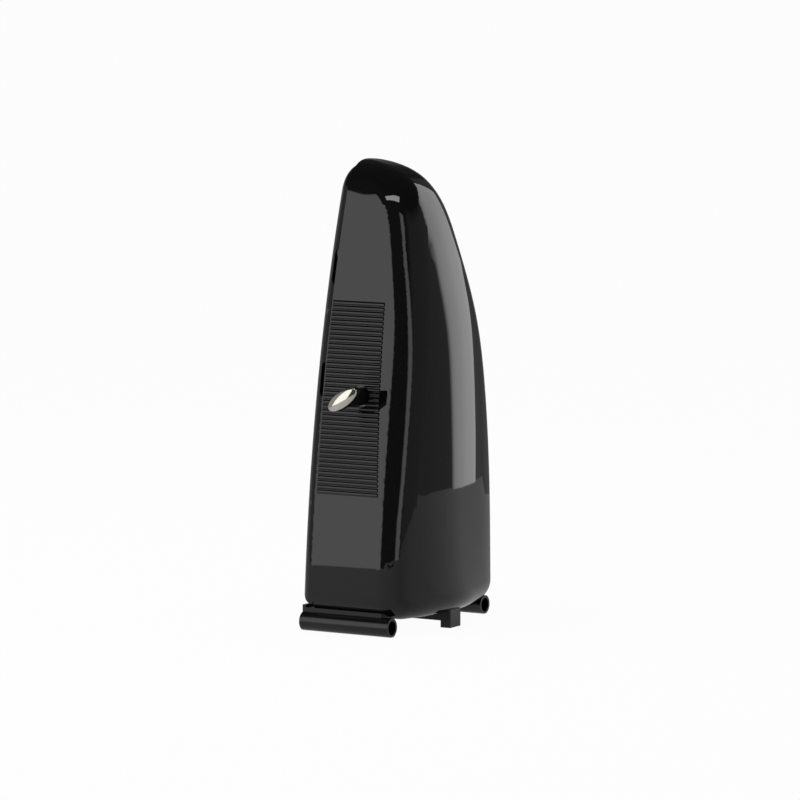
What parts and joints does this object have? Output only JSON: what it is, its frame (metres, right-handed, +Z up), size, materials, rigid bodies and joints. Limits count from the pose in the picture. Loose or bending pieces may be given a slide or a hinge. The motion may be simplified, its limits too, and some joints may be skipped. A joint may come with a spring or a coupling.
{
  "type": "metronome",
  "caption": "Small wind-up pendulum metronome: arched black case with ribbed sides, lift-off front cover, side winding key, tube feet and a complete clockwork movement inside.",
  "frame": {"origin": "on the floor, midway between the two tube feet in X and at the middle of their length in Y", "axes": "+Z up, -Y towards the front cover, +X towards the winding key"},
  "size_m": [0.0759, 0.0476, 0.16],
  "materials": {
    "gloss_black": "polished black moulding",
    "matte_black": "satin black moulding",
    "key_black": "black moulding",
    "foot_rubber": "smooth black rubber",
    "polished_nickel": "mirror polished",
    "screw_steel": "zinc plated",
    "frame_steel": "plain rolled sheet",
    "arbor_steel": "turned",
    "spring_steel": "blued",
    "brass": "stamped",
    "scale_silver": "satin with printed marks",
    "weight_lead": "cast, dull grey",
    "weight_nickel": "plated"
  },
  "bodies": {
    "case": {"housing": "gloss_black", "base_plate": "matte_black", "base_screws": "screw_steel", "foot_tube_right": "foot_rubber", "foot_tube_left": "foot_rubber", "front_plate": "matte_black", "plate_screws": "screw_steel", "movement_screws": "screw_steel", "scale_plate": "scale_silver", "frame_plate_right": "frame_steel", "frame_plate_left": "frame_steel", "frame_pillars": "brass", "pillar_screws": "screw_steel", "rear_bridge": "frame_steel", "escape_cock": "frame_steel", "winding_bushes": "brass", "intermediate_bushes": "brass", "escape_bushes": "brass", "pendulum_bushes": "brass", "mainspring": "spring_steel"},
    "cover": {"front_cover": "gloss_black"},
    "great": {"great_wheel": "brass", "click_stud": "arbor_steel", "click_spring": "spring_steel"},
    "click_body": {"click": "arbor_steel"},
    "key": {"winding_arbor": "arbor_steel", "ratchet_wheel": "arbor_steel", "key_grip": "key_black", "key_cap": "polished_nickel"},
    "intermediate": {"intermediate_arbor": "arbor_steel", "intermediate_wheel": "brass"},
    "escape": {"escape_arbor": "arbor_steel", "escape_wheel": "brass"},
    "pendulum": {"pendulum_arbor": "arbor_steel", "pallet_front": "arbor_steel", "pallet_rear": "arbor_steel", "rod_hub": "brass", "pendulum_rod": "arbor_steel", "counterweight": "weight_lead"},
    "weight": {"sliding_weight": "weight_nickel", "weight_spring": "spring_steel"}
  },
  "joints": [
    {"name": "pendulum_swing", "type": "hinge", "parent": "case", "child": "pendulum", "pos_m": [0, -0.0123, 0.058], "axis": [0, 1, 0], "range_deg": [-9, 9]},
    {"name": "weight_slide", "type": "slide", "parent": "pendulum", "child": "weight", "axis": [0, 0, 1], "range_m": [-0.024, 0.026]},
    {"name": "escape_turn", "type": "hinge", "parent": "case", "child": "escape", "pos_m": [0, 0.00384, 0.058], "axis": [1, 0, 0], "range_deg": [-6.1, 6.1]},
    {"name": "intermediate_turn", "type": "hinge", "parent": "case", "child": "intermediate", "pos_m": [0, 0.00468, 0.06917], "axis": [1, 0, 0], "range_deg": [-1.1, 1.1]},
    {"name": "great_turn", "type": "hinge", "parent": "case", "child": "great", "pos_m": [0, 0.0027, 0.081], "axis": [1, 0, 0], "range_deg": [-0.3, 0.3]},
    {"name": "key_wind", "type": "hinge", "parent": "great", "child": "key", "pos_m": [0, 0.0027, 0.081], "axis": [-1, 0, 0], "range_deg": [0, 1800]},
    {"name": "click_lift", "type": "hinge", "parent": "great", "child": "click_body", "pos_m": [0, -0.00065, 0.07382], "axis": [1, 0, 0], "range_deg": [0, 7.5], "stiffness_Nm_per_rad": 0.002, "springref_deg": -11.46},
    {"name": "cover_lift", "type": "slide", "parent": "case", "child": "cover", "axis": [0, -1, 0], "range_m": [0, 0.06]}
  ],
  "couplings": [
    {"joint": "escape_turn", "follows": "pendulum_swing", "ratio": -0.66667},
    {"joint": "intermediate_turn", "follows": "pendulum_swing", "ratio": 0.11111},
    {"joint": "great_turn", "follows": "pendulum_swing", "ratio": -0.022222}
  ]
}
